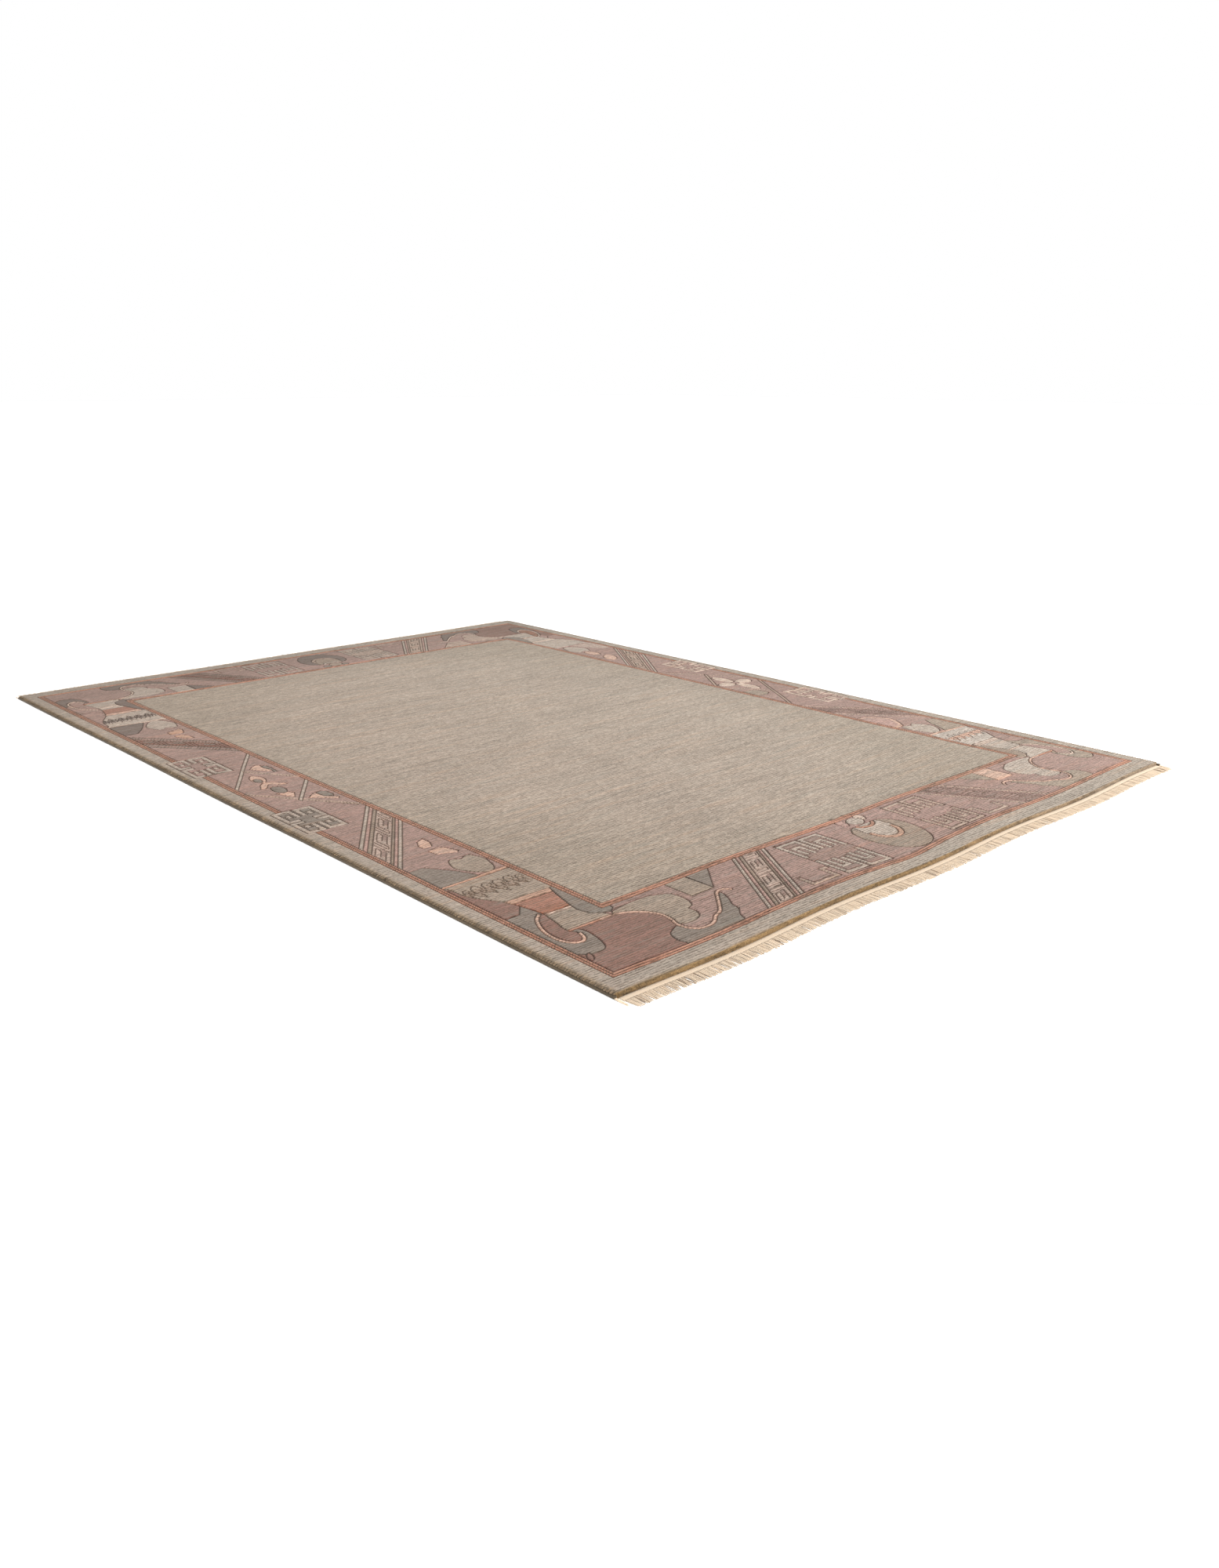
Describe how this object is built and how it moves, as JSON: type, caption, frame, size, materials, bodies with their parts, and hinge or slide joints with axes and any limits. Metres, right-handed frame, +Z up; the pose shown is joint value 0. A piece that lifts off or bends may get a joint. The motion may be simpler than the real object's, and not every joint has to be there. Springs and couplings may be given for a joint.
{
  "type": "tibetan rug",
  "caption": "Rectangular hand-knotted wool rug that lies flat, with a carved patterned border, overcast selvedges and a cotton fringe along each end.",
  "frame": {"origin": "on the floor under the middle of the rug, fringes included", "axes": "+Z up out of the pile, +X across the rug's width, +Y along its length"},
  "size_m": [2.5, 3.624, 0.013],
  "materials": {
    "wool_pile": "knotted wool pile in sage, slate, coral, peach and cream, clipped in rows across the rug and carved along the pattern's outlines",
    "overcast_wool": "dark grey-brown wool yarn wrapped round the edge cord",
    "cotton_yarn": "undyed cream cotton, a woven web and loose warp ends"
  },
  "bodies": {
    "root": {"pile_carpet": "wool_pile", "selvedge_left": "overcast_wool", "selvedge_right": "overcast_wool", "fringe_near": "cotton_yarn", "fringe_far": "cotton_yarn"}
  },
  "joints": []
}
